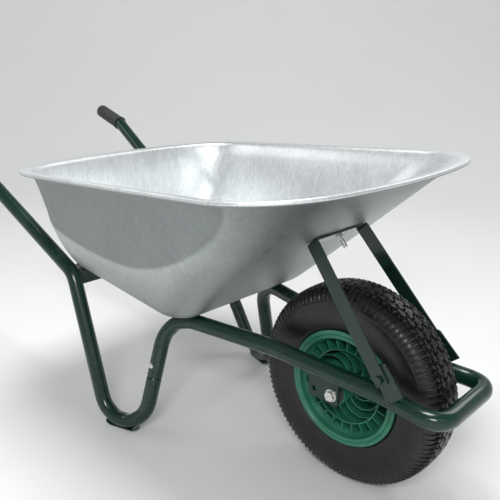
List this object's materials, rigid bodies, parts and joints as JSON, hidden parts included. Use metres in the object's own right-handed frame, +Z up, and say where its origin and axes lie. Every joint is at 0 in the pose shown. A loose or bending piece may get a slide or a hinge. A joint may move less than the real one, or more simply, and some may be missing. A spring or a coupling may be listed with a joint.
{
  "type": "wheelbarrow",
  "caption": "Garden wheelbarrow with a flared galvanised tray on a bent green tube frame and a pneumatic front wheel.",
  "frame": {"origin": "on the floor, midway between the front bar and the grip ends and midway between the two handles", "axes": "+X forward from the grips to the wheel, +Y to the left of a person pushing, +Z up; the axle runs along Y"},
  "size_m": [1.3982, 0.6706, 0.606],
  "materials": {
    "galvanised_steel": "galvanised sheet, satin with faint vertical streaks",
    "green_enamel": "glossy dark green enamel",
    "zinc_steel": "bright zinc plate",
    "grip_rubber": "matte black rubber",
    "valve_rubber": "soft black rubber",
    "tyre_rubber": "matte black tread, smoother sidewall",
    "green_plastic": "satin moulded green plastic",
    "bush_nylon": "dull black nylon",
    "black_plastic": "matte black plastic"
  },
  "bodies": {
    "frame": {"front_frame_tube": "green_enamel", "left_handle_tube": "green_enamel", "right_handle_tube": "green_enamel", "leg_joint_screws": "zinc_steel", "left_grip": "grip_rubber", "right_grip": "grip_rubber", "left_foot_plate": "green_enamel", "right_foot_plate": "green_enamel", "tray": "galvanised_steel", "rear_crossbar": "green_enamel", "front_cross_strap": "green_enamel", "tray_strut": "green_enamel", "left_strut_tab": "green_enamel", "right_strut_tab": "green_enamel", "left_axle_bracket": "green_enamel", "right_axle_bracket": "green_enamel", "tray_rear_bolts": "zinc_steel", "tray_rear_nuts": "zinc_steel", "tray_front_bolts": "zinc_steel", "tray_front_nuts": "zinc_steel", "strut_top_bolt": "zinc_steel", "strut_top_nut": "zinc_steel", "strut_tab_bolts": "green_enamel", "strut_tab_nuts": "green_enamel", "axle_bolt": "zinc_steel", "axle_nut": "zinc_steel", "axle_outer_washers": "zinc_steel", "axle_inner_washers": "zinc_steel"},
    "wheel": {"wheel_rim": "green_plastic", "tyre": "tyre_rubber", "inner_tube": "valve_rubber", "valve_stem": "valve_rubber", "valve_cap": "black_plastic", "left_wheel_bush": "bush_nylon", "right_wheel_bush": "bush_nylon"}
  },
  "joints": [
    {"name": "wheel_spin", "type": "hinge", "parent": "frame", "child": "wheel", "pos_m": [0.4649, 0, 0.195], "axis": [0, 1, 0], "continuous": true}
  ]
}
